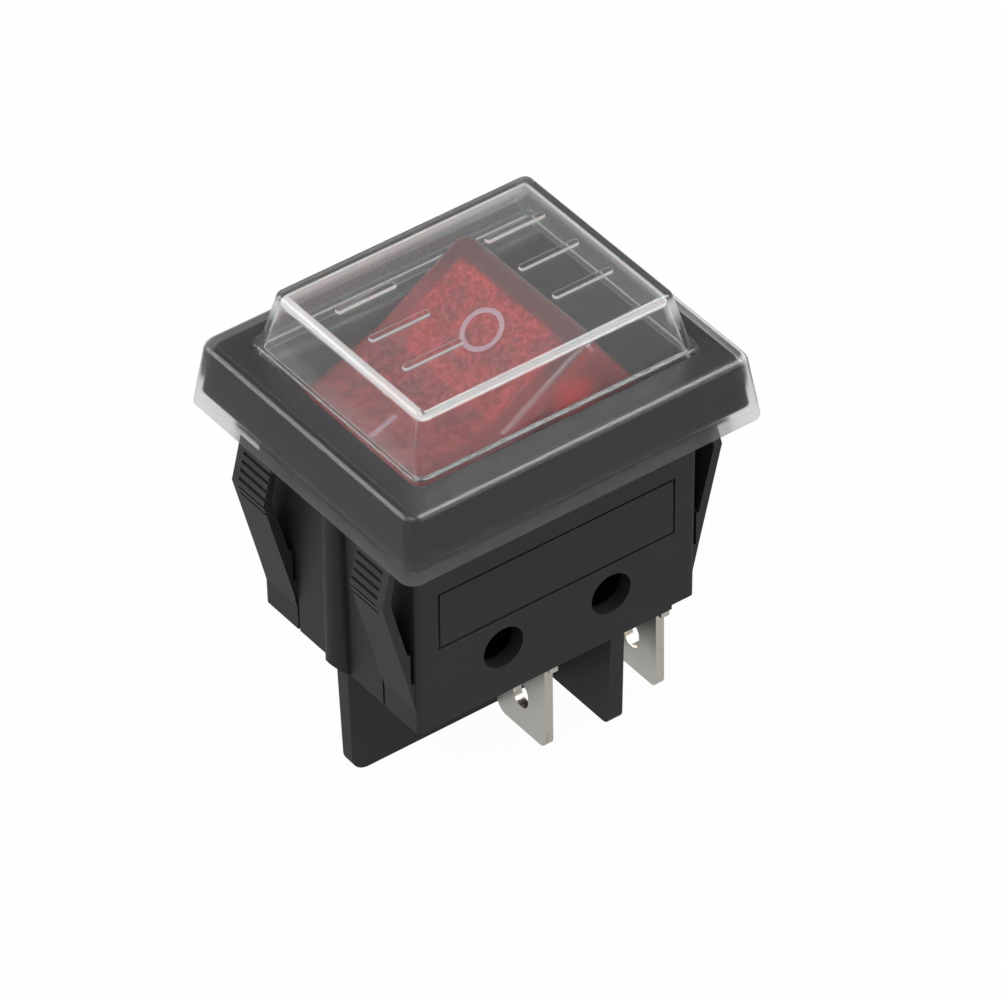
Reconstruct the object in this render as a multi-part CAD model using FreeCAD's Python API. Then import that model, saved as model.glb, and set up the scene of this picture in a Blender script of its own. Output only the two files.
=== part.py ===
import FreeCAD, Part
import math
import os

# Panel rocker switch with a clear waterproof cap, in millimetres.
# X runs along the rocker, Y along its pivot, Z up out of the panel.
# The origin is the middle of the seat on the panel. The switch is modelled in its ON state,
# with the rocker pressed at its -X end. Depths are below the seat, and the rocker's own sizes
# are measured from its pivot with the rocker level.

# Clearances
cap_gap = 0.05            # soft cap on the bezel
lip_gap = 0.25            # cap lip round the body
side_gap = 0.3            # rocker to the window, each side
end_gap = 0.3             # rocker end to the window's sloping end
sweep_gap = 0.68          # rocker's lower corner to the cavity's end wall
head_gap = 0.9            # raised ridge to the cap's roof
pivot_gap = 0.05          # trunnion in its socket, radial
pivot_end_gap = 0.1       # trunnion end to the bottom of its socket
bore_gap = 0.1            # plunger in its bore, radial
plunger_gap = 0.2         # plunger tip over the bridge, rocker level
slot_gap = 0.05           # terminal in the floor slot, each side
seat_gap = 0.05           # a part that rests on another but can lift off it
stop_gap = 0.07           # open bridge over its stop
contact_gap = 0.02        # closed contacts, each pole

# Rocker
pivot_depth = 3.0
rocker_tilt = 26.0        # each way from level
rocker_v_height = 8.0     # bottom of the V
rocker_v_angle = 6.0
rocker_arm = 10.0         # from the V to the ridge
rocker_end_height = 7.2
rocker_end_draft = 9.7
rocker_width = 17.0
rocker_edge = 1.2
rocker_roof = 1.5
rocker_end_wall = 1.8
rocker_side_wall = 2.1
skirt_shoulder_inset = 2.0
skirt_foot = 3.2
skirt_drop = 2.6
trunnion_radius = 1.5
trunnion_length = 1.15

# Poles: two, one each side of the middle
pole_inset = 2.75         # from the rocker's side
boss_radius = 2.2
bore_top = 2.85
plunger_radius = 1.2
plunger_tip_radius = 1.0
plunger_tip_arm = 8.0     # to the centre of the round tip
plunger_stand = 1.5       # tip centre below the boss
plunger_shoulder = -3.0
plunger_stem_radius = 0.5
plunger_stem_length = 1.5
spring_wire = 0.34
spring_coil_radius = 0.86
spring_turns = 4
spring_turn_sides = 8
spring_cap = 0.4          # wire pad on which the spring presses

# Housing body
side_wall = 1.5
end_wall = 1.55
floor = 1.6
chamber_depth = 4.9       # below the bridges' pivots
body_draft = 0.2          # each side, top to bottom
body_corner = 0.4
window_rim = 0.9          # rounded edge of the window
partition_wall = 1.4
partition_rise = 2.0      # above the bridges' pivots
vent_diameter = 3.8
vent_spacing = 10.4
vent_drop = 1.8           # below the bridges' pivots
panel_line_width = 0.22   # engraved frame on the side
panel_line_cut = 0.15
panel_line_margin = 2.15
panel_line_top = 6.2
panel_line_bottom = 11.8
end_step_length = 2.2
end_step_height = 0.4
end_rib_radius = 1.15

# Waterproof cap
flange_reach_x = 3.45     # past the body, each end
flange_reach_y = 4.15     # past the body, each side
flange_draft_x = 0.8
flange_draft_y = 0.7
flange_height = 5.76
flange_wall = 0.85
flange_roof = 0.75
flange_corner = 1.2
flange_edge = 0.6
lip_height = 1.05
plinth_ledge = 0.45
plinth_height = 0.54
plinth_corner = 1.0
hat_inset_x = 0.1         # foot inside the window's end
hat_reach_y = 1.7         # foot past the window's side
hat_draft_x = 1.075
hat_draft_y = 1.1
hat_wall = 0.6
hat_roof = 0.87
hat_corner = 0.7
hat_edge = 0.4
grip_inner = 4.25
grip_outer = 9.9
grip_pitch = 4.3
grip_width = 0.7
grip_height = 0.3
grip_rows = 3

# Fins between the terminals
long_fin_wall = 1.4
long_fin_tip_wall = 1.15
long_fin_length = 10.8    # below the body
long_fin_inset = 0.35
long_fin_corner = 1.6
cross_fin_wall = 1.3
cross_fin_shift = 0.4     # from half way between the terminal rows
cross_fin_length = 9.2
cross_fin_inset = 0.35
cross_fin_corner = 0.9

# Snap arms
arm_width = 4.2
arm_inset = 0.5           # from the body's side
arm_tip_depth = 1.5
arm_tip_reach = 1.95      # in front of the end wall
arm_crest_depth = 5.5
arm_crest_reach = 2.92
arm_knee_depth = 13.9
arm_knee_reach = 0.8
arm_root_depth = 17.2
arm_wall = 0.8
arm_slot = 0.4            # behind the arm's root
arm_slot_depth = 14.4
arm_heel_depth = 11.3
grip_groove_count = 6
grip_groove_pitch = 0.75
grip_groove_height = 0.3
grip_groove_cut = 0.25
grip_groove_top = 2.3
grip_groove_margin = 0.75
arm_line_width = 0.25
arm_line_cut = 0.15

# Contact bridges, their centre line measured from their pivot
bridge_tilt = 7.8
bridge_width = 4.0
bridge_wall = 0.8
bridge_root_rise = 0.4
bridge_dish_x = 2.6
bridge_dish_rise = 0.95
bridge_crest_x = 4.0
bridge_crest_rise = 2.1
bridge_valley_rise = 1.3
bridge_end_gap = 0.6      # from the end terminal's middle
contact_margin = 0.2      # strip or foot past the contact's edge
contact_radius = 1.5
moving_contact_height = 0.7
fixed_contact_height = 0.7
valley_gap = 0.5          # bend to the contact's edge
stop_width = 2.8

# Terminals
tab_width = 6.3
tab_wall = 0.8
centre_tab_length = 9.2   # below the body
end_tab_length = 8.7
end_terminal_gap = 1.1    # from the cavity's end wall to the terminal's middle
tab_inner_corner = 1.2
tab_outer_corner = 0.7
tab_slot_width = 1.9
tab_slot_length = 2.5
tab_slot_rise = 3.5       # slot centre above the tip
shoulder_width = 7.7
shoulder_height = 1.0
stem_width = 5.6
ear_rise = 0.8
ear_gap = 0.1
foot_width = 4.8
foot_bend = 0.7

# Lamp and its resistor, in the rocker
lamp_radius = 2.0
lamp_roof_gap = 0.5
lamp_start = 0.0
lamp_end_gap = 1.4        # from the ridge
lamp_nose = 0.9
lamp_stem_radius = 1.2
lamp_stem_length = 1.0
lead_spacing = 1.2
resistor_radius = 1.15
resistor_end_gap = 2.2    # from the ridge
resistor_gap = 1.6        # lamp stem to resistor
lead_radius = 0.25
lead_overlap = 0.12       # end of a lead in its pad
saddle_wall = 0.8
saddle_half_width = 3.4
saddle_gap = 0.05
lead_slot = 1.6
lead_slot_height = 0.7


def vec(x, y, z):
    """A point or direction in the part's frame."""
    return FreeCAD.Vector(x, y, z)


X_AXIS = vec(1, 0, 0)
Y_AXIS = vec(0, 1, 0)
Z_AXIS = vec(0, 0, 1)
ORIGIN = vec(0, 0, 0)


def box(x0, x1, y0, y1, z0, z1):
    """A block between pairs of planes."""
    return Part.makeBox(x1 - x0, y1 - y0, z1 - z0, vec(x0, y0, z0))


def frustum(lower, upper, z0, z1, corner):
    """A drafted block between two half sizes, with round upright corners."""
    wedge = Part.makeWedge(-lower[0], z0, -lower[1], -upper[1], -upper[0], lower[0], z1, lower[1], upper[1], upper[0])
    block = wedge.rotated(vec(0, 0, 0), X_AXIS, 90)
    middle = (z0 + z1) / 2
    upright = edges_where(block, lambda c: abs(c.z - middle) < 0.01)
    return block.makeFillet(corner, upright)


def mix(start, end, share):
    """The value a share of the way from start to end."""
    return start + (end - start) * share


def slab_xz(points, y0, y1):
    """A solid whose outline lies in the XZ plane, from y0 to y1."""
    corners = [vec(x, y0, z) for x, z in points]
    face = Part.Face(Part.makePolygon(corners + [corners[0]]))
    return face.extrude(vec(0, y1 - y0, 0))


def slab_yz(points, x0, x1):
    """A solid whose outline lies in the YZ plane, from x0 to x1."""
    corners = [vec(x0, y, z) for y, z in points]
    face = Part.Face(Part.makePolygon(corners + [corners[0]]))
    return face.extrude(vec(x1 - x0, 0, 0))


def flip_y(shape):
    """The same shape on the other side of the XZ plane."""
    return shape.mirror(ORIGIN, Y_AXIS)


def flip_x(shape):
    """The same shape on the other side of the YZ plane."""
    return shape.mirror(ORIGIN, X_AXIS)


def both_ends(shape):
    """The shape and its mirror at the other end."""
    return [shape, flip_x(shape)]


def edges_where(shape, test):
    """Edges whose middle passes a test."""
    return [edge for edge in shape.Edges if test(edge.CenterOfMass)]


def fused(first, others):
    """One solid from touching or overlapping shapes."""
    return first.fuse(others).removeSplitter()


def rocker_ridge():
    """Ridge of the level rocker, from the pivot."""
    angle = math.radians(rocker_v_angle)
    return (rocker_arm * math.cos(angle), rocker_v_height + rocker_arm * math.sin(angle))


def rocker_foot():
    """Lower corner of the level rocker's end, from the pivot."""
    ridge = rocker_ridge()
    reach = rocker_end_height * math.tan(math.radians(rocker_end_draft))
    return (ridge[0] + reach, ridge[1] - rocker_end_height)


def turned(point, degrees):
    """A point in the XZ plane turned about the pivot, +X end down."""
    angle = math.radians(degrees)
    x, z = point
    return (x * math.cos(angle) + z * math.sin(angle), z * math.cos(angle) - x * math.sin(angle))


# Sizes that follow from the rocker's
pressed_ridge = turned(rocker_ridge(), rocker_tilt)
pressed_foot = turned(rocker_foot(), rocker_tilt)
raised_ridge = turned(rocker_ridge(), -rocker_tilt)
window_length = 2 * (pressed_ridge[0] + end_gap)
window_width = rocker_width + 2 * side_gap
cavity_half = math.hypot(*rocker_foot()) + sweep_gap
body_length = 2 * (cavity_half + end_wall)
body_width = window_width + 2 * side_wall
pole_offset = rocker_width / 2 - pole_inset
skirt_shoulder = rocker_arm - skirt_shoulder_inset
boss_drop = plunger_tip_arm - plunger_stand
bridge_pivot_depth = (pivot_depth + plunger_tip_arm + plunger_tip_radius + plunger_gap
                      + bridge_wall / 2 + bridge_root_rise)
body_depth = bridge_pivot_depth + chamber_depth + floor
floor_top = -body_depth + floor
socket_radius = trunnion_radius + pivot_gap
pin_end = rocker_width / 2 + trunnion_length
bore_radius = plunger_radius + bore_gap
pivot_point = vec(0, 0, -pivot_depth)
bridge_point = vec(0, 0, -bridge_pivot_depth)

# Terminals and contacts along X
end_terminal_x = cavity_half - end_terminal_gap
bridge_end_x = end_terminal_x - bridge_end_gap
contact_x = bridge_end_x - contact_margin - contact_radius
bridge_valley_x = contact_x - contact_radius - valley_gap
cross_fin_x = end_terminal_x / 2 + cross_fin_shift

# Lamp and resistor
lamp_height = rocker_v_height - rocker_roof - lamp_roof_gap - lamp_radius
lamp_length = rocker_arm - lamp_end_gap
resistor_length = rocker_arm - lamp_stem_length - resistor_gap - resistor_end_gap

# Cap and bezel
flange_length = body_length + 2 * flange_reach_x
flange_width = body_width + 2 * flange_reach_y
flange_inside_corner = flange_corner - flange_wall / 2
bezel_bottom = lip_height + cap_gap
bezel_top = flange_height - flange_roof - cap_gap
hat_foot = flange_height + plinth_height
hat_top = raised_ridge[1] - pivot_depth + head_gap + hat_roof
hat_height = hat_top - hat_foot
hat_foot_half = (window_length / 2 - hat_inset_x, window_width / 2 + hat_reach_y)


def flange_half(z):
    """Half sizes of the cap flange's outside at height z."""
    share = z / flange_height
    return (flange_length / 2 - flange_draft_x * share, flange_width / 2 - flange_draft_y * share)


def flange_inside_half(z):
    """Half sizes of the cap flange's inside at height z."""
    outside = flange_half(z)
    return (outside[0] - flange_wall, outside[1] - flange_wall)


def hat_half(z):
    """Half sizes of the hat's outside at height z."""
    share = (z - hat_foot) / hat_height
    return (hat_foot_half[0] - hat_draft_x * share, hat_foot_half[1] - hat_draft_y * share)


def hat_inside_half(z):
    """Half sizes of the hat's inside at height z."""
    outside = hat_half(z)
    return (outside[0] - hat_wall, outside[1] - hat_wall)


def body_half(z):
    """Half sizes of the housing body at height z, below the seat."""
    inset = body_draft * -z / body_depth
    return (body_length / 2 - inset, body_width / 2 - inset)


def waterproof_cap():
    """Clear cap: flange over the bezel, raised hat over the rocker, lip under the bezel."""
    flange = frustum(flange_half(0), flange_half(flange_height), 0, flange_height, flange_corner)
    crease = edges_where(flange, lambda c: abs(c.z - flange_height) < 0.01)
    flange = flange.makeFillet(flange_edge, crease)
    plinth_half = (hat_foot_half[0] + plinth_ledge, hat_foot_half[1] + plinth_ledge)
    overlap = flange_roof / 2
    plinth = frustum(plinth_half, plinth_half, flange_height - overlap, hat_foot, plinth_corner)
    hat = frustum(hat_half(hat_foot - overlap), hat_half(hat_top), hat_foot - overlap, hat_top, hat_corner)
    top_edges = edges_where(hat, lambda c: abs(c.z - hat_top) < 0.01)
    hat = hat.makeFillet(hat_edge, top_edges)
    solid = fused(flange, [plinth, hat])

    roof_under = flange_height - flange_roof
    flange_space = frustum(flange_inside_half(lip_height), flange_inside_half(roof_under), lip_height, roof_under,
                           flange_inside_corner)
    lip_half = (body_length / 2 + lip_gap, body_width / 2 + lip_gap)
    lip_space = frustum(lip_half, lip_half, -1, lip_height + cap_gap, body_corner)
    hat_inner_top = hat_top - hat_roof
    hat_space = frustum(hat_inside_half(roof_under - 1), hat_inside_half(hat_inner_top), roof_under - 1,
                        hat_inner_top, hat_corner - hat_wall / 2)
    solid = solid.cut([flange_space, lip_space, hat_space])
    return fused(solid, grip_ribs())


def grip_ribs():
    """Thin ribs on the hat's top, in rows over each half of the rocker."""
    ribs = []
    for row in range(grip_rows):
        y = (row - (grip_rows - 1) / 2) * grip_pitch
        for side in (-1, 1):
            near, far = sorted((side * grip_inner, side * grip_outer))
            ribs.append(box(near, far, y - grip_width / 2, y + grip_width / 2, hat_top - hat_roof / 2,
                            hat_top + grip_height))
    return ribs


def snap_arm():
    """One snap arm at the -X end, beside the corner nearer +Y, with its grip grooves."""
    outer_y = body_width / 2 - arm_inset
    inner_y = outer_y - arm_width
    wall_x = body_half(-arm_root_depth)[0]
    crest_x = wall_x + arm_crest_reach
    knee_x = wall_x + arm_knee_reach
    tip_x = wall_x + arm_tip_reach
    inside = wall_x - end_wall / 2
    front = [
        (-inside, -arm_root_depth),
        (-wall_x, -arm_root_depth),
        (-knee_x, -arm_knee_depth),
        (-crest_x, -arm_crest_depth),
        (-tip_x, -arm_tip_depth),
    ]
    slot_x = wall_x + arm_slot
    heel_x = mix(knee_x, crest_x, (arm_knee_depth - arm_heel_depth) / (arm_knee_depth - arm_crest_depth)) - arm_wall
    back = [
        (-(tip_x - arm_wall / 2), -(arm_tip_depth + arm_wall)),
        (-(crest_x - arm_wall), -arm_crest_depth),
        (-heel_x, -arm_heel_depth),
        (-slot_x, -arm_heel_depth),
        (-slot_x, -arm_slot_depth),
        (-inside, -arm_slot_depth),
    ]
    arm = slab_xz(front + back, inner_y, outer_y)
    grooves = []
    for index in range(grip_groove_count):
        middle = grip_groove_top + (index + 0.5) * grip_groove_pitch
        if middle < arm_crest_depth:
            share = (middle - arm_tip_depth) / (arm_crest_depth - arm_tip_depth)
            face_x = mix(tip_x, crest_x, share)
        else:
            share = (middle - arm_crest_depth) / (arm_knee_depth - arm_crest_depth)
            face_x = mix(crest_x, knee_x, share)
        low = -(middle + grip_groove_height / 2)
        high = -(middle - grip_groove_height / 2)
        grooves.append(box(-face_x - 1, -face_x + grip_groove_cut, inner_y - 1, outer_y - grip_groove_margin,
                           low, high))
    return arm.cut(grooves)


def fin(points, wall, tip_wall, along_x, place, top, tip):
    """A moulded fin: an outline with a drafted thickness."""
    if along_x:
        blade = slab_xz(points, place - wall / 2, place + wall / 2)
        wedge = [(-wall / 2, top), (wall / 2, top), (tip_wall / 2, tip), (-tip_wall / 2, tip)]
        limit = slab_yz([(place + y, z) for y, z in wedge], -body_length, body_length)
    else:
        blade = slab_yz(points, place - wall / 2, place + wall / 2)
        wedge = [(-wall / 2, top), (wall / 2, top), (tip_wall / 2, tip), (-tip_wall / 2, tip)]
        limit = slab_xz([(place + x, z) for x, z in wedge], -body_width, body_width)
    return blade.common(limit)


def fin_outline(half_top, inset, top, tip):
    """Outline of a fin that narrows towards its tip."""
    return [(-half_top, top), (half_top, top), (half_top - inset, tip), (-half_top + inset, tip)]


def fins():
    """The long fin between the poles and the cross fin between the terminal rows."""
    top = -body_depth + floor / 2
    lower = body_half(-body_depth)
    long_fin_tip = -body_depth - long_fin_length
    long_outline = fin_outline(lower[0], long_fin_inset, top, long_fin_tip)
    long_fin = fin(long_outline, long_fin_wall, long_fin_tip_wall, True, 0, top, long_fin_tip)
    reach = lower[0] - long_fin_inset
    tips = edges_where(long_fin, lambda c: abs(c.z - long_fin_tip) < 0.01 and abs(abs(c.x) - reach) < 0.01)
    long_fin = long_fin.makeFillet(long_fin_corner, tips)
    cross_fin_tip = -body_depth - cross_fin_length
    cross_outline = fin_outline(lower[1], cross_fin_inset, top, cross_fin_tip)
    cross_fin = fin(cross_outline, cross_fin_wall, cross_fin_wall, False, cross_fin_x, top, cross_fin_tip)
    reach_y = lower[1] - cross_fin_inset
    tips = edges_where(cross_fin, lambda c: abs(c.z - cross_fin_tip) < 0.01 and abs(abs(c.y) - reach_y) < 0.01)
    cross_fin = cross_fin.makeFillet(cross_fin_corner, tips)
    return [long_fin, cross_fin]


def housing_cavity():
    """Space for the rocker and the mechanism, its sloping ends parallel to the pressed rocker's."""
    slope = (pressed_ridge[0] - pressed_foot[0]) / (pressed_ridge[1] - pressed_foot[1])
    window_half = window_length / 2
    gap = end_gap * math.sqrt(1 + slope * slope)

    def level_at(x):
        """Height at which the sloping end of the window reaches x."""
        return pressed_ridge[1] - pivot_depth + (x - gap - pressed_ridge[0]) / slope

    outline = [
        (window_half, bezel_top + 1),
        (window_half, level_at(window_half)),
        (cavity_half, level_at(cavity_half)),
        (cavity_half, floor_top),
    ]
    mirrored = [(-x, z) for x, z in reversed(outline)]
    return slab_xz(outline + mirrored, -window_width / 2, window_width / 2)


def panel_line():
    """Thin engraved frame on the -Y side of the body."""
    def strip(x0, x1, z0, z1):
        """One line of the frame, cut to an even depth in the drafted wall."""
        face = body_half((z0 + z1) / 2)[1]
        return box(x0, x1, -face - 1, -face + panel_line_cut, z0, z1)

    right = body_length / 2 - panel_line_margin
    left = -right
    top, bottom = -panel_line_top, -panel_line_bottom
    width = panel_line_width
    return [
        strip(left, right, bottom, bottom + width),
        strip(left, right, top - width, top),
        strip(left, left + width, bottom, top),
        strip(right - width, right, bottom, top),
    ]


def housing():
    """Black moulding: bezel, body, snap arms, ribs and fins."""
    corner = flange_inside_corner - cap_gap
    bezel = frustum(bezel_half(bezel_bottom), bezel_half(bezel_top), bezel_bottom, bezel_top, corner)
    block = frustum(body_half(-body_depth), body_half(bezel_bottom), -body_depth, bezel_bottom, body_corner)
    solid = fused(bezel, [block])
    additions = []
    arm = snap_arm()
    additions += both_ends(arm)
    additions += both_ends(flip_y(arm))
    rib_x = body_half(-body_depth / 2)[0]
    rib = Part.makeCylinder(end_rib_radius, body_depth - seat_gap, vec(-rib_x, 0, -body_depth), Z_AXIS)
    rib = rib.cut(slab_xz([(-rib_x - end_rib_radius, -body_depth), (-rib_x, -body_depth),
                           (-rib_x - end_rib_radius, -body_depth + end_rib_radius)], -body_width, body_width))
    additions += both_ends(rib)
    additions += fins()
    solid = fused(solid, additions)
    solid = solid.cut(housing_cavity())
    window_edge = edges_where(solid, lambda c: abs(c.z - bezel_top) < 0.01
                              and abs(c.x) < window_length / 2 + 0.01 and abs(c.y) < window_width / 2 + 0.01)
    solid = solid.makeFillet(window_rim, window_edge)
    vents = []
    for side in (-1, 1):
        vents.append(Part.makeCylinder(vent_diameter / 2, 2 * body_width,
                                       vec(side * vent_spacing / 2, -body_width, -bridge_pivot_depth - vent_drop),
                                       Y_AXIS))
    solid = solid.cut(vents)

    additions = []
    additions.append(box(-cavity_half - end_wall / 2, cavity_half + end_wall / 2, -partition_wall / 2,
                         partition_wall / 2, floor_top - floor / 2, -bridge_pivot_depth + partition_rise))
    stop_top = bridge_stop_level() - stop_gap
    for side in (-1, 1):
        y = side * pole_offset
        additions.append(box(-contact_x - stop_width / 2, -contact_x + stop_width / 2, y - bridge_width / 2,
                             y + bridge_width / 2, floor_top - floor / 2, stop_top))
    solid = fused(solid, additions)

    cuts = []
    pin_depth = pin_end + pivot_end_gap
    cuts.append(Part.makeCylinder(socket_radius, 2 * pin_depth, vec(0, -pin_depth, -pivot_depth), Y_AXIS))
    cuts += panel_line()
    for side in (-1, 1):
        inner = pole_offset - tab_width / 2 - slot_gap
        outer = pole_offset + tab_width / 2 + slot_gap
        low, high = sorted((side * inner, side * outer))
        for x in (0, end_terminal_x):
            half = tab_wall / 2 + slot_gap
            cuts.append(box(x - half, x + half, low, high, -body_depth - 1, floor_top + 1))
        line_x = body_half(-body_depth)[0] - arm_line_cut
        line_y = side * (body_width / 2 - arm_inset - arm_width)
        line = box(-body_length, -line_x, line_y - arm_line_width / 2, line_y + arm_line_width / 2,
                   -body_depth - 1, -arm_root_depth + 1)
        cuts += both_ends(line)
    step_start = body_half(-body_depth)[0] - end_step_length
    for side in (-1, 1):
        low, high = sorted((side * (pole_offset + tab_width / 2 + slot_gap), side * body_width))
        cuts.append(box(step_start, body_length, low, high, -body_depth - 1, -body_depth + end_step_height))
    return solid.cut(cuts)


def bezel_half(z):
    """Half sizes of the bezel at height z, inside the cap flange."""
    inside = flange_inside_half(z)
    return (inside[0] - cap_gap, inside[1] - cap_gap)


def rocker_level():
    """The rocker in its level position, with its pivot at the origin."""
    ridge = rocker_ridge()
    foot = rocker_foot()
    half = [ridge, foot, (skirt_shoulder, foot[1]), (skirt_foot, -skirt_drop)]
    outline = [(0, rocker_v_height)] + half + [(-x, z) for x, z in reversed(half)]
    shell = slab_xz(outline, -rocker_width / 2, rocker_width / 2)

    def rounded(c):
        """Ridges, top edges along the sides and upright end corners."""
        on_side = abs(abs(c.y) - rocker_width / 2) < 0.01
        on_ridge = abs(abs(c.x) - ridge[0]) < 0.01 and abs(c.z - ridge[1]) < 0.01
        on_top = on_side and c.z > rocker_v_height
        on_corner = on_side and abs(c.x) > ridge[0] - 0.01 and c.z < ridge[1] - 0.1
        return on_ridge or on_top or on_corner

    shell = shell.makeFillet(rocker_edge, edges_where(shell, rounded))

    slope = math.tan(math.radians(rocker_v_angle))
    draft = math.tan(math.radians(rocker_end_draft))
    roof = rocker_roof / math.cos(math.radians(rocker_v_angle))
    wall = rocker_end_wall / math.cos(math.radians(rocker_end_draft))
    top_at_ridge = (ridge[1] - roof) - ridge[0] * slope
    inner_x = (ridge[0] - wall + (ridge[1] - rocker_v_height + roof) * draft) / (1 + slope * draft)
    inner_z = rocker_v_height - roof + inner_x * slope
    low = foot[1] - 1
    low_x = inner_x + (inner_z - low) * draft
    deep = -boss_drop - 1
    half_space = [(inner_x, inner_z), (low_x, low), (low_x, deep)]
    space_outline = [(0, rocker_v_height - roof)] + half_space + [(-x, z) for x, z in reversed(half_space)]
    inner_half_width = rocker_width / 2 - rocker_side_wall
    space = slab_xz(space_outline, -inner_half_width, inner_half_width)
    shell = shell.cut(space)

    additions = []
    boss_top = rocker_v_height - rocker_roof / 2
    for side in (-1, 1):
        y = side * pole_offset
        additions.append(Part.makeCylinder(boss_radius, boss_drop + boss_top, vec(0, y, -boss_drop), Z_AXIS))
        additions.append(Part.makeCylinder(trunnion_radius, trunnion_length + rocker_side_wall / 2,
                                           vec(0, side * (rocker_width - rocker_side_wall) / 2, 0),
                                           vec(0, side, 0)))
    top = rocker_v_height - rocker_roof / 2
    for x in saddle_places():
        additions.append(box(x - saddle_wall / 2, x + saddle_wall / 2, -saddle_half_width, saddle_half_width,
                             lamp_height, top))
    shell = fused(shell, additions)

    cuts = []
    for side in (-1, 1):
        y = side * pole_offset
        cuts.append(Part.makeCylinder(bore_radius, boss_drop + 1 + bore_top, vec(0, y, -boss_drop - 1), Z_AXIS))
        near, far = sorted((side * (pole_offset - boss_radius - 1), y))
        cuts.append(box(-lead_slot / 2, lead_slot / 2, near, far, bore_top - lead_slot_height, bore_top))
    cuts.append(Part.makeCylinder(lamp_radius + saddle_gap, lamp_length + 2 * saddle_gap,
                                  vec(lamp_start - saddle_gap, 0, lamp_height), X_AXIS))
    resistor_start = -lamp_stem_length - resistor_gap - resistor_length
    cuts.append(Part.makeCylinder(resistor_radius + saddle_gap, resistor_length,
                                  vec(resistor_start, lead_spacing / 2, lamp_height), X_AXIS))
    return shell.cut(cuts)


def saddle_places():
    """Saddles moulded under the rocker's roof: two for the lamp, one for the resistor."""
    resistor_middle = -lamp_stem_length - resistor_gap - resistor_length / 2
    return [lamp_start + lamp_length / 4, lamp_start + lamp_length / 4 * 2.6, resistor_middle]


def revolved(profile, base, axis, across):
    """A solid of revolution from (distance along the axis, radius) pairs."""
    points = [base + axis * along + across * radius for along, radius in profile]
    corners = [base + axis * profile[0][0]] + points + [base + axis * profile[-1][0]]
    return Part.Face(Part.makePolygon(corners + [corners[0]])).revolve(base, axis, 360)


def neon_lamp():
    """Glass lamp with a blunt nose and a pinched stem."""
    straight = lamp_length - lamp_nose
    profile = [
        (-lamp_stem_length, lamp_stem_radius),
        (0, lamp_stem_radius),
        (0, lamp_radius),
        (straight, lamp_radius),
        (lamp_length, lamp_radius - lamp_nose),
    ]
    return revolved(profile, vec(lamp_start, 0, lamp_height), X_AXIS, Z_AXIS)


def ballast_resistor():
    """Resistor body with the lead that joins it to the lamp."""
    y = lead_spacing / 2
    start = lamp_start - lamp_stem_length - resistor_gap
    profile = [
        (-resistor_length, resistor_radius),
        (0, resistor_radius),
        (0, lead_radius),
        (resistor_gap, lead_radius),
    ]
    return revolved(profile, vec(start, y, lamp_height), X_AXIS, Z_AXIS)


def wire(points):
    """An eight-sided wire through a few points, its first run along X, with mitred bends."""
    path = Part.Wire([Part.LineSegment(start, end).toShape() for start, end in zip(points, points[1:])])
    corners = []
    for index in range(8):
        angle = math.radians(45 * index)
        corners.append(points[0] + vec(0, lead_radius * math.cos(angle), lead_radius * math.sin(angle)))
    section = Part.makePolygon(corners + [corners[0]])
    return path.makePipeShell([section], True, False, 1)


def lamp_lead(side):
    """Wire to one pole's spring, with the pad that the spring presses on."""
    pad_low = bore_top - spring_cap
    wire_z = bore_top - lead_radius - seat_gap
    pad = Part.makeCylinder(plunger_radius, spring_cap / 2, vec(0, side * pole_offset, pad_low), Z_AXIS)
    stem_end = lamp_start - lamp_stem_length
    entry = vec(-lead_slot / 4, side * (pole_offset - boss_radius), wire_z)
    last = vec(0, side * (pole_offset - plunger_radius + lead_overlap), wire_z)
    clear = pole_offset - boss_radius - 3 * lead_radius
    if side < 0:
        points = [
            vec(stem_end, -lead_spacing / 2, lamp_height),
            vec(stem_end - 2 * lead_radius, -lead_spacing / 2, lamp_height),
            vec(stem_end, -clear, wire_z),
        ]
    else:
        resistor_end = stem_end - resistor_gap - resistor_length
        points = [
            vec(resistor_end, lead_spacing / 2, lamp_height),
            vec(resistor_end - 2 * lead_radius, lead_spacing / 2, lamp_height),
            vec(resistor_end, clear, wire_z),
            vec(stem_end, clear, wire_z),
        ]
    return fused(pad, [wire(points + [entry, last])])


def plunger(side):
    """Sliding pin with a rounded tip and a stem that guides its spring."""
    tip = plunger_tip_radius
    profile = []
    for angle in (70, 25):
        turn = math.radians(angle)
        profile.append((-tip * math.sin(turn), tip * math.cos(turn)))
    neck = profile[-1][1]
    shoulder = plunger_tip_arm + plunger_shoulder
    profile += [
        (plunger_radius - neck, plunger_radius),
        (shoulder, plunger_radius),
        (shoulder, plunger_stem_radius),
        (shoulder + plunger_stem_length, plunger_stem_radius),
    ]
    return revolved(profile, vec(0, side * pole_offset, -plunger_tip_arm), Z_AXIS, X_AXIS)


def plunger_spring(side):
    """Coil of square wire between the plunger's shoulder and the wire pad."""
    half = spring_wire / 2
    low = plunger_shoulder + half + seat_gap
    high = bore_top - spring_cap - half - seat_gap
    inner, outer = spring_coil_radius - half, spring_coil_radius + half
    steps = spring_turns * spring_turn_sides
    sections = []
    for step in range(steps + 1):
        angle = 2 * math.pi * step / spring_turn_sides
        height = mix(low, high, step / steps)
        corners = []
        for radius, z in ((inner, height - half), (outer, height - half), (outer, height + half), (inner, height + half)):
            corners.append(vec(radius * math.cos(angle), radius * math.sin(angle) + side * pole_offset, z))
        sections.append(Part.makePolygon(corners + [corners[0]]))
    return Part.makeLoft(sections, True, True)


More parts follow.
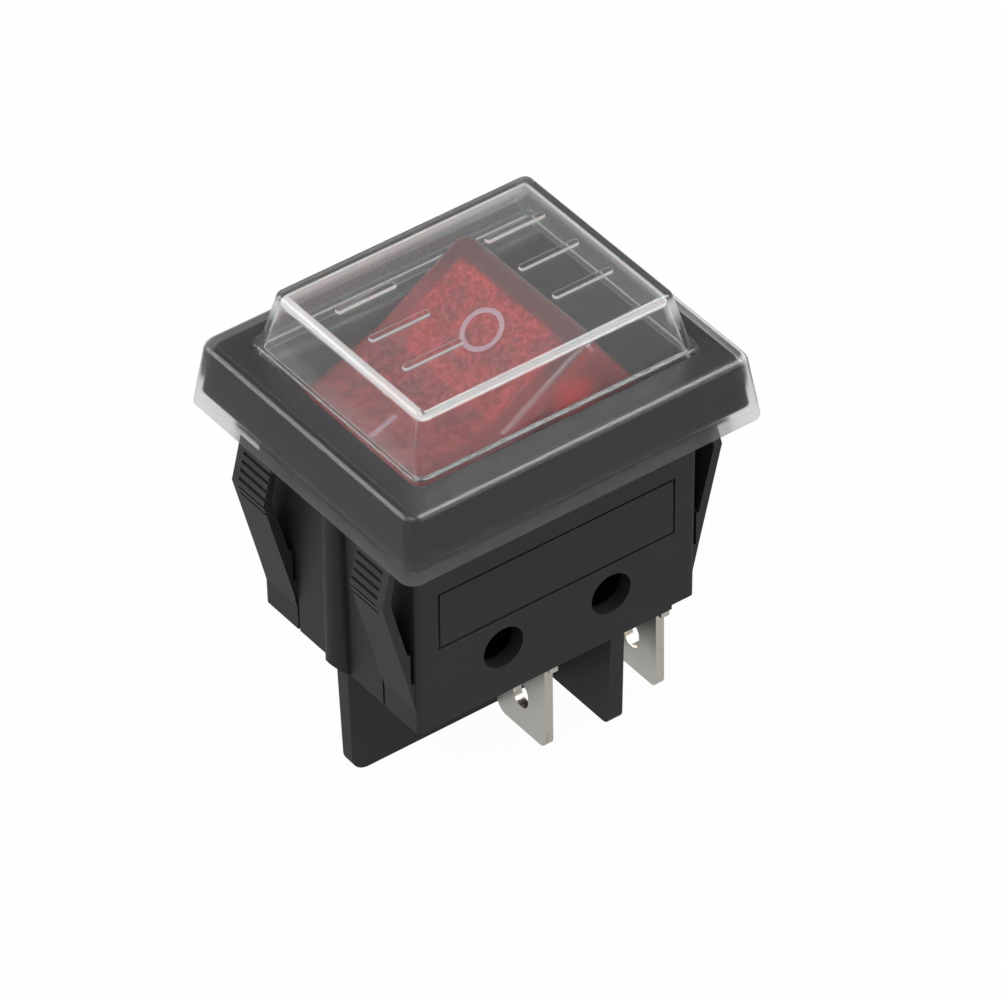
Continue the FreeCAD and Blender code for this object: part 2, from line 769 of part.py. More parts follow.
def offset_line(points, distance):
    """Points of a bent line moved sideways by a distance, with mitred bends."""
    moved = []
    for index, (x, z) in enumerate(points):
        directions = []
        if index > 0:
            directions.append((x - points[index - 1][0], z - points[index - 1][1]))
        if index < len(points) - 1:
            directions.append((points[index + 1][0] - x, points[index + 1][1] - z))
        normals = []
        for dx, dz in directions:
            length = math.hypot(dx, dz)
            normals.append((-dz / length, dx / length))
        nx = sum(n[0] for n in normals) / len(normals)
        nz = sum(n[1] for n in normals) / len(normals)
        size = nx * nx + nz * nz
        moved.append((x + distance * nx / size, z + distance * nz / size))
    return moved


def bridge_line():
    """Centre line of the level contact bridge, from its pivot."""
    end_rise = bridge_valley_rise + (bridge_end_x - bridge_valley_x) * math.tan(math.radians(bridge_tilt))
    half = [
        (bridge_dish_x, bridge_dish_rise),
        (bridge_crest_x, bridge_crest_rise),
        (bridge_valley_x, bridge_valley_rise),
        (bridge_end_x, end_rise),
    ]
    return [(-x, z) for x, z in reversed(half)] + [(0, bridge_root_rise)] + half


def bridge_stop_level():
    """Height of a tipped bridge's level end, at its underside."""
    valley = turned((bridge_valley_x, bridge_valley_rise), bridge_tilt)
    return -bridge_pivot_depth + valley[1] - bridge_wall / 2


def contact_bridge(side):
    """Bent see-saw strip, tipped with its +X end down."""
    line = bridge_line()
    outline = offset_line(line, bridge_wall / 2) + list(reversed(offset_line(line, -bridge_wall / 2)))
    y = side * pole_offset
    strip = slab_xz(outline, y - bridge_width / 2, y + bridge_width / 2)
    strip = strip.translated(bridge_point)
    return strip.rotated(bridge_point, Y_AXIS, bridge_tilt)


def moving_contact(side):
    """Silver contact under the bridge's end."""
    base = vec(contact_x, side * pole_offset, bridge_stop_level() - moving_contact_height)
    return Part.makeCylinder(contact_radius, moving_contact_height, base, Z_AXIS)


def fixed_contact_top():
    """Top of the fixed contact, just under the closed moving one."""
    return bridge_stop_level() - moving_contact_height - contact_gap


def fixed_contact(side):
    """Silver contact on the foot of the end terminal."""
    base = vec(contact_x, side * pole_offset, fixed_contact_top() - fixed_contact_height)
    return Part.makeCylinder(contact_radius, fixed_contact_height, base, Z_AXIS)


def tab(x, side, length, top, upper_width):
    """Flat terminal: blade below the body, shoulders under it and a stem inside."""
    y = side * pole_offset
    depth = body_depth + length
    x0 = x - tab_wall / 2
    x1 = x + tab_wall / 2
    blade = box(x0, x1, y - tab_width / 2, y + tab_width / 2, -depth, floor_top)
    outer_y = y + side * tab_width / 2
    inner_y = y - side * tab_width / 2
    outer = edges_where(blade, lambda c: abs(c.z + depth) < 0.01 and abs(c.y - outer_y) < 0.01)
    blade = blade.makeFillet(tab_outer_corner, outer)
    inner = edges_where(blade, lambda c: abs(c.z + depth) < 0.01 and abs(c.y - inner_y) < 0.01)
    blade = blade.makeFillet(tab_inner_corner, inner)
    shoulder_top = -body_depth
    shoulder = box(x0, x1, y - shoulder_width / 2, y + shoulder_width / 2, shoulder_top - shoulder_height,
                   shoulder_top)
    stem = box(x0, x1, y - upper_width / 2, y + upper_width / 2, floor_top - floor, top)
    solid = fused(blade, [shoulder, stem])
    slot_middle = -depth + tab_slot_rise
    straight = (tab_slot_length - tab_slot_width) / 2
    radius = tab_slot_width / 2
    slot = [box(x0 - 1, x1 + 1, y - radius, y + radius, slot_middle - straight, slot_middle + straight)]
    for end in (-1, 1):
        slot.append(Part.makeCylinder(radius, tab_wall + 2, vec(x0 - 1, y, slot_middle + end * straight), X_AXIS))
    return solid.cut(slot[0].fuse(slot[1:]))


def centre_terminal(side):
    """Common terminal with the notch on which the bridge tips."""
    ear_top = -bridge_pivot_depth + ear_rise
    solid = tab(0, side, centre_tab_length, ear_top, stem_width)
    y = side * pole_offset
    half = bridge_width / 2 + ear_gap
    line = bridge_line()
    under = offset_line(line, -bridge_wall / 2)[len(line) // 2]
    notch_floor = -bridge_pivot_depth + under[1] - seat_gap
    notch = box(-tab_wall, tab_wall, y - half, y + half, notch_floor, ear_top + 1)
    return solid.cut(notch)


def end_terminal(side):
    """Terminal with the foot that carries the fixed contact."""
    y = side * pole_offset
    foot_top = fixed_contact_top() - fixed_contact_height
    solid = tab(end_terminal_x, side, end_tab_length, foot_top, foot_width)
    foot_start = contact_x - contact_radius - contact_margin
    foot = box(foot_start, end_terminal_x, y - foot_width / 2, y + foot_width / 2, foot_top - tab_wall, foot_top)
    solid = fused(solid, [foot])
    bend = edges_where(solid, lambda c: abs(c.z - foot_top) < 0.01 and abs(c.x - end_terminal_x - tab_wall / 2) < 0.01)
    solid = solid.makeFillet(foot_bend, bend)
    return solid


def in_rocker(shape):
    """Carries a piece of the level rocker to its place in the ON state."""
    placed = shape.translated(pivot_point)
    return placed.rotated(pivot_point, Y_AXIS, -rocker_tilt)


def build():
    """All pieces by node name."""
    pieces = {
        "housing": housing(),
        "waterproof_cap": waterproof_cap(),
        "rocker": in_rocker(rocker_level()),
        "neon_lamp": in_rocker(neon_lamp()),
        "ballast_resistor": in_rocker(ballast_resistor()),
    }
    for name, side in (("front", -1), ("rear", 1)):
        pieces["lamp_lead_" + name] = in_rocker(lamp_lead(side))
        pieces["plunger_spring_" + name] = in_rocker(plunger_spring(side))
        pieces["plunger_" + name] = in_rocker(plunger(side))
        pieces["contact_bridge_" + name] = contact_bridge(side)
        pieces["moving_contact_" + name] = moving_contact(side)
        pieces["fixed_contact_" + name] = fixed_contact(side)
        pieces["centre_terminal_" + name] = centre_terminal(side)
        pieces["end_terminal_" + name] = end_terminal(side)
    return pieces


os.makedirs("parts", exist_ok=True)
for node, shape in build().items():
    print(node, shape.ShapeType, len(shape.Solids), shape.isValid(), round(shape.Volume, 3))
    if len(shape.Solids) == 1:
        shape = shape.Solids[0]
    shape.exportStep("parts/" + node + ".step")
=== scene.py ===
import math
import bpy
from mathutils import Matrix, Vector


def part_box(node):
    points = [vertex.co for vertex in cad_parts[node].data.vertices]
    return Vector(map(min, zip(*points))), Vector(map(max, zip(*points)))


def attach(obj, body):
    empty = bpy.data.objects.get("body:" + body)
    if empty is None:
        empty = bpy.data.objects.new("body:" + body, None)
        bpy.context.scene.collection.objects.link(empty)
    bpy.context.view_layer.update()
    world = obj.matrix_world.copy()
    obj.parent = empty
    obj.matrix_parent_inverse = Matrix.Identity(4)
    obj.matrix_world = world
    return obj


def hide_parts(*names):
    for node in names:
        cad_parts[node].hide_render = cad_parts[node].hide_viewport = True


bl_info = {
    "name": "Capped Rocker Switch",
    "version": (1, 0, 0),
    "blender": (4, 5, 0),
    "location": "View3D > Sidebar > Switch",
    "description": "Clear cap, marks, finishes and studio for a panel rocker switch",
    "category": "Object",
}

import bmesh
import bpy
from mathutils import Matrix, Vector

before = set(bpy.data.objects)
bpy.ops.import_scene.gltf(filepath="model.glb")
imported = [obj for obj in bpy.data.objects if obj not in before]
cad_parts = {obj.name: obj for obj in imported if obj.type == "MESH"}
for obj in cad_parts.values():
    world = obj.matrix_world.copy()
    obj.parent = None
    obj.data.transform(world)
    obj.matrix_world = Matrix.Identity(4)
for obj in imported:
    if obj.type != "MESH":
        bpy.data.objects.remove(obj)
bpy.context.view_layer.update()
CAP_LOW, CAP_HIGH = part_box("waterproof_cap")

# The rocker's top as the solid has it, and the small rounds of the cap

ROCKER_PIVOT = Vector((0, 0, -0.003))
ROCKER_TILT = math.radians(26)
V_HEIGHT = 0.008
V_ANGLE = math.radians(6)
ROCKER_HALF_WIDTH_MM = 8.5
RIDGE_FROM_PIVOT_MM = 9.95
# Middle of a painted patch of light on the rocker's near side, in the rocker's own millimetres.
PAINTED_LIGHT_PLACE_MM = (6.0, -8.5, 6.0)
LIP_CORNER = 0.0006
BEZEL_CORNER = 0.0008
BEZEL_EDGE = 0.0003
RIB_LEAN = 0.00004
RIB_EDGE = 0.00008
CUT_REACH = 0.001
CUT_OVERLAP = 0.0001


# Sizes and colours that a user would change

def length(name, description, default):
    """A length in metres with a name and a description."""
    return bpy.props.FloatProperty(name=name, description=description, default=default,
                                   unit="LENGTH", precision=5)


def plain(name, description, default):
    """A number without a unit."""
    return bpy.props.FloatProperty(name=name, description=description, default=default, precision=4)


def colour(name, description, default):
    """A colour, in the linear values that the shader takes."""
    return bpy.props.FloatVectorProperty(name=name, description=description, default=default,
                                         subtype="COLOR", size=3, min=0, max=1)


class CapSizes(bpy.types.PropertyGroup):
    """Clear waterproof cap."""
    flange_length: length("Flange length", "Flange along the rocker, at its foot", CAP_HIGH.x - CAP_LOW.x)
    flange_width: length("Flange width", "Flange across the rocker, at its foot", CAP_HIGH.y - CAP_LOW.y)
    flange_height: length("Flange height", "Seat to the flange's top", 0.00576)
    flange_draft_x: length("Flange draft along", "How far each end leans in", 0.0008)
    flange_draft_y: length("Flange draft across", "How far each side leans in", 0.0007)
    flange_corner: length("Flange corner", "Round of the upright corners", 0.0012)
    flange_edge: length("Flange edge", "Round of the top edge", 0.0006)
    wall: length("Wall", "Wall of the flange", 0.00085)
    roof: length("Flange roof", "Thickness over the bezel", 0.00075)
    lip_height: length("Lip height", "Lip under the bezel", 0.00105)
    lip_half_x: length("Lip opening along", "Half the opening at the seat", 0.0138)
    lip_half_y: length("Lip opening across", "Half the opening at the seat", 0.01055)
    ledge: length("Plinth ledge", "Ledge at the hat's foot", 0.00045)
    plinth_height: length("Plinth height", "Step at the hat's foot", 0.00054)
    plinth_corner: length("Plinth corner", "Round of the plinth's corners", 0.0010)
    hat_half_x: length("Hat foot along", "Half the hat's foot", 0.0131)
    hat_half_y: length("Hat foot across", "Half the hat's foot", 0.0105)
    hat_draft_x: length("Hat draft along", "How far each end leans in", 0.001075)
    hat_draft_y: length("Hat draft across", "How far each side leans in", 0.0011)
    hat_corner: length("Hat corner", "Round of the upright corners", 0.0007)
    hat_edge: length("Hat edge", "Round of the top edge", 0.0004)
    hat_wall: length("Hat wall", "Wall of the hat", 0.0006)
    hat_roof: length("Hat roof", "Thickness over the rocker", 0.00087)
    rib_start: length("Rib start", "Inner end of the finger ribs", 0.00425)
    rib_end: length("Rib end", "Outer end of the finger ribs", 0.0099)
    rib_width: length("Rib width", "Width of a finger rib", 0.0007)
    rib_height: length("Rib height", "Height of a finger rib", 0.0003)
    rib_pitch: length("Rib pitch", "Spacing of the rows", 0.0043)
    tint: colour("Tint", "Colour of the clear plastic", (0.96, 0.97, 0.975))
    roughness: plain("Roughness", "Roughness of the clear plastic", 0.03)
    # This colour is the real milky haze and frosted lip, and also the painted white highlights along the
    # hat's edges.
    frost_and_highlight: colour("Frost", "Colour of the frosted edges", (0.80, 0.80, 0.80))
    # Strength of the painted white highlight along the hat's inner top edges and the ribs' sides.
    edge_highlight: plain("Edge frost", "Frosting along the hat's edges", 0.65)
    lip_frost: plain("Lip frost", "Frosting of the lip", 0.04)
    lip_clear: plain("Lip clearness", "How much shows straight through the lip", 0.6)
    flange_satin: plain("Flange satin", "Roughness that the flange has more than the hat", 0.22)
    haze: plain("Haze", "Milkiness of the hat", 0.05)
    # A painted white band of light under the far top edges, on the far walls only.
    band: plain("Edge band", "Whiteness under the far top edges", 0.7)
    band_depth: length("Edge band depth", "How far down that whiteness reaches", 0.0022)
    under: colour("Under the flange", "Black where the flange lies on the bezel", (0.016, 0.0164, 0.018))


class RockerColours(bpy.types.PropertyGroup):
    """Red translucent rocker."""
    lit: colour("Lit red", "Red over the prisms", (0.30, 0.008, 0.010))
    # Deep red is also painted over the pressed half as shade.
    deep: colour("Deep red", "Red in the clear margins", (0.085, 0.006, 0.008))
    # Spark: painted glints on the prisms.
    spark: colour("Spark", "Brightest prism faces", (0.62, 0.03, 0.028))
    side: colour("Side red", "Red of the rocker's sides", (0.34, 0.008, 0.009))
    # Red of a painted patch of light, where light comes through the rocker's side.
    painted_light: colour("Glow", "Red where light comes through at the side", (0.80, 0.014, 0.014))
    prism_pitch: plain("Prism pitch", "Spacing of the prisms, in millimetres", 0.3)
    margin_side: plain("Side margin", "Clear margin at the sides, in millimetres", 2.1)
    margin_ridge: plain("Ridge margin", "Clear margin at the ridges, in millimetres", 1.75)


class MarkSizes(bpy.types.PropertyGroup):
    """O and I marks on the rocker."""
    ring_outer: length("Ring", "Outside diameter of the O", 0.0038)
    stroke: length("Stroke", "Width of the lines", 0.00042)
    ring_place: length("Ring place", "From the V to the O's middle", 0.0049)
    bar_start: length("Bar start", "From the V to the I", 0.004)
    bar_end: length("Bar end", "From the V to the I's far end", 0.00675)
    thickness: length("Thickness", "Height of the print", 0.00003)
    ink: colour("Ink", "Colour of the print", (0.52, 0.32, 0.38))


class HousingColours(bpy.types.PropertyGroup):
    """Black moulding."""
    black: colour("Black", "Colour of the nylon", (0.0150, 0.0152, 0.0163))
    # Lighter colour along the edges: a painted highlight, partly rubbed wear; it also makes random lighter
    # patches.
    edge_sheen_and_rub: colour("Rubbed edge", "Colour along the edges", (0.029, 0.029, 0.0302))
    roughness: plain("Roughness", "Roughness of the moulding", 0.5)


class MetalColours(bpy.types.PropertyGroup):
    """Terminals and the mechanism."""
    tin: colour("Tin", "Tinned faces", (0.90, 0.875, 0.815))
    brass: colour("Brass", "Cut edges and strips", (0.62, 0.42, 0.20))
    silver: colour("Silver", "Contact faces", (0.80, 0.79, 0.77))
    steel: colour("Steel", "Springs", (0.46, 0.46, 0.47))


class StudioSettings(bpy.types.PropertyGroup):
    """Floor, light and camera."""
    azimuth: plain("Azimuth", "Camera direction round the switch, in degrees", -36.177)
    elevation: plain("Elevation", "Camera height, in degrees", 39.966)
    roll: plain("Roll", "Camera roll, in degrees", -0.908)
    distance: length("Distance", "Camera from the aim", 0.71922)
    aim_right: length("Aim right", "Aim to the right of the origin", 0.00185)
    aim_up: length("Aim up", "Aim above the origin", -0.0072447)
    lens: plain("Lens", "Focal length, in millimetres", 336.722)
    ambient: plain("Ambient", "Light from all round", 0.55)
    key: plain("Key", "Power of the large light, in watts", 1.2)
    fill: plain("Fill", "Power of the small light, in watts", 0.5)
    floor_level: length("Floor", "Height of the floor", -0.0303)
    floor_white: plain("Floor white", "How white the floor is to the camera", 0.97)
    floor_gloss: plain("Floor reflection", "How white the floor is in reflections", 0.42)
    inner_white: plain("Inner reflection", "White that reflections under the clear cap show", 0.38)
    reflected: plain("Reflected room", "Light that shiny faces reflect from all round", 0.2)
    front_box: plain("Front softbox", "Reflected light from above the front", 9.0)
    side_box: plain("Side softbox", "Reflected light from the left", 5.0)


SIZES = (
    ("switch_cap", CapSizes),
    ("switch_rocker", RockerColours),
    ("switch_marks", MarkSizes),
    ("switch_housing", HousingColours),
    ("switch_metal", MetalColours),
    ("switch_studio", StudioSettings),
)


# Shader maths

class Value:
    """A socket that adds Math nodes when it is used in an expression."""

    def __init__(self, finish, socket):
        self.finish = finish
        self.socket = socket

    def math(self, operation, *others):
        """This value put through a Math node with the others."""
        sockets = {index: item for index, item in enumerate((self,) + others)}
        return self.finish.node("ShaderNodeMath", {"operation": operation}, sockets)

    def __add__(self, other):
        return self.math("ADD", other)

    __radd__ = __add__

    def __sub__(self, other):
        return self.math("SUBTRACT", other)

    def __rsub__(self, other):
        return self.finish.node("ShaderNodeMath", {"operation": "SUBTRACT"}, {0: other, 1: self})

    def __mul__(self, other):
        return self.math("MULTIPLY", other)

    __rmul__ = __mul__

    def absolute(self):
        return self.math("ABSOLUTE")

    def step(self, low, high):
        """0 below low, 1 above high and smooth between, also with the two swapped."""
        return self.finish.node("ShaderNodeMapRange", {"interpolation_type": "SMOOTHSTEP"},
                                {"Value": self, "From Min": low, "From Max": high})


class Finish:
    """The nodes of one material or world."""

    def __init__(self, owner):
        owner.use_nodes = True
        self.tree = owner.node_tree
        self.tree.nodes.clear()

    def make(self, kind, settings=None, sockets=None):
        """A node with its settings made first, then its sockets given values or links."""
        made = self.tree.nodes.new(kind)
        for name, item in (settings or {}).items():
            setattr(made, name, item)
        for name, item in (sockets or {}).items():
            self.feed(made.inputs[name], item)
        return made

    def node(self, kind, settings=None, sockets=None, output=0):
        """One output of a new node, ready for an expression."""
        return Value(self, self.make(kind, settings, sockets).outputs[output])

    def feed(self, socket, item):
        """A link from a value, or a plain number, vector or colour."""
        if isinstance(item, Value):
            self.tree.links.new(item.socket, socket)
        elif socket.type == "RGBA" and len(item) == 3:
            socket.default_value = (*item, 1)
        else:
            socket.default_value = item

    def blend(self, factor, first, second):
        """Two colours mixed."""
        return self.node("ShaderNodeMix", {"data_type": "RGBA"}, {0: factor, 6: first, 7: second}, 2)

    def likeness(self, first, second):
        """How far two directions agree: 1 along each other, 0 at right angles."""
        return self.node("ShaderNodeVectorMath", {"operation": "DOT_PRODUCT"}, {0: first, 1: second}, "Value")

    def facing(self):
        """The three parts of the direction that a face looks in."""
        return self.split(self.node("ShaderNodeNewGeometry", output="Normal"))

    def place(self):
        """Place on the object, in metres."""
        return self.node("ShaderNodeTexCoord", output="Object")

    def noise(self, place, scale, detail=2.0, roughness=0.5, output="Fac"):
        return self.node("ShaderNodeTexNoise", {}, {"Vector": place, "Scale": scale, "Detail": detail,
                                                    "Roughness": roughness}, output)

    def bump(self, height, distance, strength=1.0):
        return self.node("ShaderNodeBump", {}, {"Height": height, "Distance": distance, "Strength": strength})

    def split(self, vector):
        """The three parts of a vector."""
        parts = self.make("ShaderNodeSeparateXYZ", {}, {0: vector})
        return [Value(self, part) for part in parts.outputs]

    def surface(self, **sockets):
        """The main shader, with sockets named in words joined by underscores."""
        named = {name.replace("_", " ").title().replace("Ior", "IOR"): item for name, item in sockets.items()}
        self.show(self.node("ShaderNodeBsdfPrincipled", {}, named))

    def mix(self, factor, first, second):
        """Two shaders mixed."""
        return self.node("ShaderNodeMixShader", {}, {0: factor, 1: first, 2: second})

    def show(self, shader):
        """The shader that the material shows."""
        self.make("ShaderNodeOutputMaterial", {}, {"Surface": shader})


def new_finish(name):
    """A new material and its nodes."""
    material = bpy.data.materials.new(name)
    return material, Finish(material)


def sheen_edge_mask(finish, radius):
    """1 on edges, 0 on flat faces: where the housing gets its painted edge highlight, partly rubbed wear."""
    bevelled = finish.node("ShaderNodeBevel", {"samples": 2}, {"Radius": radius})
    true = finish.node("ShaderNodeNewGeometry", output="Normal")
    return finish.likeness(bevelled, true).step(0.995, 0.90)


def rocker_place(finish):
    """Place in millimetres from the rocker's pivot, turned as if the rocker lay level."""
    pivot = -ROCKER_PIVOT.z * 1000
    return finish.node("ShaderNodeMapping", {}, {
        "Vector": finish.place(),
        "Location": (pivot * math.sin(ROCKER_TILT), 0, pivot * math.cos(ROCKER_TILT)),
        "Rotation": (0, ROCKER_TILT, 0),
        "Scale": (1000, 1000, 1000),
    })


# Finishes

def black_nylon(colours):
    """Satin black moulding with a fine eroded grain."""
    material, finish = new_finish("black_nylon")
    place = finish.place()
    grain = finish.noise(place, 5200, 3.0, 0.6)
    cloud = finish.noise(place, 160, 3.0)
    drag = finish.node("ShaderNodeMapping", {}, {"Vector": place, "Scale": (260, 260, 26)})
    streak = finish.noise(drag, 6, 2.0)
    # Lighter along the edges: a painted highlight, partly rubbed wear.
    edges = sheen_edge_mask(finish, 0.00022)
    base = finish.blend(edges * (0.35 + cloud * 0.5), colours.black, colours.edge_sheen_and_rub)
    base = finish.blend(cloud.step(0.35, 0.8) * 0.35, base, colours.edge_sheen_and_rub)
    height = grain * 0.7 + streak * 0.3
    finish.surface(
        base_color=base,
        roughness=colours.roughness + (cloud - 0.5) * 0.16 - edges * 0.1,
        specular_ior_level=0.45,
        normal=finish.bump(height, 0.000015, 0.5),
    )
    return material


def bezel_contact(cap, x, y, z):
    """1 on the flange's inner faces, which lie on the bezel."""
    risen = z * (1 / cap.flange_height)
    half_x = cap.flange_length / 2 - risen * cap.flange_draft_x
    half_y = cap.flange_width / 2 - risen * cap.flange_draft_y
    past_side = (x.absolute() - half_x).math("MAXIMUM", y.absolute() - half_y)
    past_hat = (x.absolute() - cap.hat_half_x).math("MAXIMUM", y.absolute() - cap.hat_half_y)
    roof_middle = cap.flange_height - cap.roof / 2
    within_wall = past_side.step(cap.wall * -0.45, cap.wall * -0.7)
    under_roof = z.step(roof_middle + 0.0001, roof_middle - 0.0001)
    over_lip = z.step(cap.lip_height + 0.00005, cap.lip_height + 0.00015)
    return within_wall * past_hat.step(0, 0.0001) * under_roof * over_lip


def hat_painted_highlights(cap, x, y, z, level):
    """Painted white highlights on the hat: along its inner top edges, on its ribs' sides and in a band under
    the far edges.
    """
    hat_top = CAP_HIGH.z - cap.rib_height
    inner_top = hat_top - cap.hat_roof
    inner_x = cap.hat_half_x - cap.hat_draft_x - cap.hat_wall
    inner_y = cap.hat_half_y - cap.hat_draft_y - cap.hat_wall
    from_corner = (x.absolute() - inner_x).math("MAXIMUM", y.absolute() - inner_y).absolute()
    from_edge = from_corner.math("MAXIMUM", (z - inner_top).absolute())
    # Painted white highlights: the inner top edges, the ribs' sides, and a band on the far walls only.
    edge = from_edge.step(cap.hat_edge * 0.6, cap.hat_edge * 0.25)
    rib_side = level.step(0.85, 0.6) * z.step(hat_top + 0.00001, hat_top + 0.00006)
    far = (x - inner_x).math("MAXIMUM", y - inner_y).step(-0.0006, 0.0)
    below_edge = z.step(inner_top - cap.band_depth, inner_top) * (1 - z.step(inner_top, hat_top))
    return (edge + rib_side) * cap.edge_highlight + far * level.step(0.6, 0.3) * below_edge * cap.band


def clear_plastic(cap):
    """Clear soft plastic with a frosted lip, painted white highlights along its edges, and the bezel's black
    where the flange lies on it.
    """
    material, finish = new_finish("clear_plastic")
    x, y, z = finish.split(finish.place())
    level = finish.facing()[2].absolute()
    lip = z.step(cap.lip_height * 1.4, cap.lip_height * 0.9)
    hat = z.step(cap.flange_height, cap.flange_height + cap.plinth_height)
    shadow = finish.node("ShaderNodeLightPath", output="Is Shadow Ray")
    clear = finish.node("ShaderNodeBsdfPrincipled", {}, {
        "Base Color": cap.tint,
        "Roughness": cap.roughness + level.step(0.6, 0.3) * 0.05 + (1 - hat) * cap.flange_satin,
        "IOR": 1.49,
        "Transmission Weight": 1.0,
        "Alpha": (1 - lip * cap.lip_clear) * (1 - shadow * 0.92),
    })
    frost_and_highlight = finish.node("ShaderNodeBsdfPrincipled", {}, {
        "Base Color": cap.frost_and_highlight,
        "Roughness": 0.4,
        "Subsurface Weight": 0.4,
        "Subsurface Scale": 0.001,
    })
    bezel = finish.node("ShaderNodeBsdfPrincipled", {}, {"Base Color": cap.under, "Roughness": 0.5})
    # White mixed in: painted highlights, plus the real frosted lip and milky haze.
    milk_and_painted_highlight = hat_painted_highlights(cap, x, y, z, level) + lip * cap.lip_frost + hat * cap.haze
    finish.show(finish.mix(bezel_contact(cap, x, y, z), finish.mix(milk_and_painted_highlight, clear, frost_and_highlight), bezel))
    return material


def red_translucent(colours):
    """Red plastic with prisms under its faces and clear margins."""
    material, finish = new_finish("red_translucent")
    level = rocker_place(finish)
    along, across, _ = finish.split(level)
    cells = finish.node("ShaderNodeTexVoronoi", {"feature": "F1", "distance": "MANHATTAN"},
                        {"Vector": level, "Scale": 1 / colours.prism_pitch, "Randomness": 0.65}, "Color")
    cell_shade = finish.split(cells)[0]
    fine = finish.noise(level, 5.5, 3.0, 0.65)
    cloud = finish.noise(level, 0.45, 2.0)
    inside_side = (across.absolute() - (ROCKER_HALF_WIDTH_MM - colours.margin_side)).step(0.35, -0.35)
    inside_ridge = (along.absolute() - (RIDGE_FROM_PIVOT_MM - colours.margin_ridge)).step(0.3, -0.3)
    prisms = inside_side * inside_ridge
    # Random prism cells lighter, up to the spark colour: the prism pattern with painted glints.
    glitter = (cell_shade * 0.55 + fine * 0.6).step(0.42, 0.85)
    lit = finish.blend(glitter * 0.75, colours.lit, colours.spark)
    lit = finish.blend(cloud.step(0.62, 0.3) * 0.5, lit, colours.deep)
    # The pressed half is painted darker: painted shade.
    lit = finish.blend(along.step(0.5, -0.5) * 0.4, lit, colours.deep)
    margin = finish.blend(along.step(8.0, 3.5) * 0.6, colours.deep, colours.lit)
    base = finish.blend(prisms, margin, lit)
    sideways = finish.facing()[1].absolute().step(0.45, 0.75)
    base = finish.blend(sideways, base, finish.blend(fine.step(0.4, 0.7) * 0.5, colours.side, colours.deep))
    # A painted patch of light on the rocker's near side.
    from_painted_light = finish.node("ShaderNodeVectorMath", {"operation": "DISTANCE"},
                            {0: level, 1: PAINTED_LIGHT_PLACE_MM}, "Value")
    base = finish.blend(from_painted_light.step(2.6, 0.8), base, colours.painted_light)
    height = prisms * (cell_shade * 0.5 + fine * 0.5)
    finish.surface(
        base_color=base,
        roughness=0.22 + prisms * glitter * 0.14,
        specular_ior_level=0.5,
        coat_weight=0.6,
        coat_roughness=0.06,
        subsurface_weight=0.15,
        subsurface_radius=(1.0, 0.12, 0.08),
        subsurface_scale=0.0012,
        normal=finish.bump(height, 0.00003, 0.5),
    )
    return material


def mark_ink(marks):
    """Pale print, a little worn."""
    material, finish = new_finish("mark_ink")
    place = finish.place()
    wear = finish.noise(place, 2600, 3.0)
    finish.surface(
        base_color=finish.blend(wear.step(0.45, 0.75) * 0.35, marks.ink, (0.42, 0.16, 0.19)),
        roughness=0.5,
        normal=finish.bump(wear, 0.00001, 0.3),
    )
    return material


def bright_metal(name, face, edge, drawn, roughness):
    """Drawn or rolled metal, with another colour on its cut edges."""
    material, finish = new_finish(name)
    place = finish.place()
    along = finish.node("ShaderNodeMapping", {}, {"Vector": place, "Scale": drawn})
    lines = finish.noise(along, 1, 4.0, 0.7)
    cloud = finish.noise(place, 500, 3.0)
    cut = finish.facing()[0].absolute().step(0.75, 0.45)
    base = finish.blend(cut * (0.10 + cloud.step(0.5, 0.75) * 0.35), face, edge)
    base = finish.blend(lines.step(0.5, 0.85) * 0.25, base, tuple(part * 0.55 for part in face))
    finish.surface(
        base_color=base,
        metallic=1.0,
        roughness=roughness + cloud * 0.16 + (lines - 0.5) * 0.12,
        normal=finish.bump(lines, 0.00001, 0.4),
    )
    return material


def white_nylon():
    """Off-white sliding plastic."""
    material, finish = new_finish("white_nylon")
    cloud = finish.noise(finish.place(), 700, 3.0)
    finish.surface(
        base_color=finish.blend(cloud, (0.68, 0.66, 0.60), (0.76, 0.75, 0.71)),
        roughness=0.38 + cloud * 0.1,
        subsurface_weight=0.1,
        subsurface_scale=0.001,
        normal=finish.bump(cloud, 0.00001, 0.3),
    )
    return material


def lamp_glass():
    """Clear glass with the neon's electrodes as a warm core."""
    material, finish = new_finish("lamp_glass")
    cloud = finish.noise(finish.place(), 420, 2.0)
    finish.surface(
        base_color=finish.blend(cloud.step(0.4, 0.7), (0.80, 0.74, 0.70), (0.90, 0.60, 0.42)),
        roughness=0.05 + cloud * 0.05,
        transmission_weight=0.7,
        ior=1.5,
    )
    return material


def resistor_coat():
    """Sand-coloured coat with four bands."""
    material, finish = new_finish("resistor_coat")
    along = finish.split(rocker_place(finish))[0]
    cloud = finish.noise(finish.place(), 900, 3.0)
    base = finish.blend(cloud, (0.60, 0.47, 0.30), (0.70, 0.57, 0.38))
    for middle, shade in ((-6.9, (0.35, 0.16, 0.04)), (-6.1, (0.02, 0.02, 0.02)),
                          (-5.3, (0.75, 0.55, 0.02)), (-3.6, (0.65, 0.42, 0.12))):
        base = finish.blend((along - middle).absolute().step(0.22, 0.16), base, shade)
    finish.surface(base_color=base, roughness=0.35 + cloud * 0.12, coat_weight=0.3,
                   normal=finish.bump(cloud, 0.00002, 0.4))
    return material


def dress(material, *nodes):
    """One finish on every material slot of some CAD nodes."""
    for name in nodes:
        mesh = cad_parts[name].data
        if not mesh.materials:
            mesh.materials.append(material)
        for index in range(len(mesh.materials)):
            mesh.materials[index] = material


# Modelling by hand

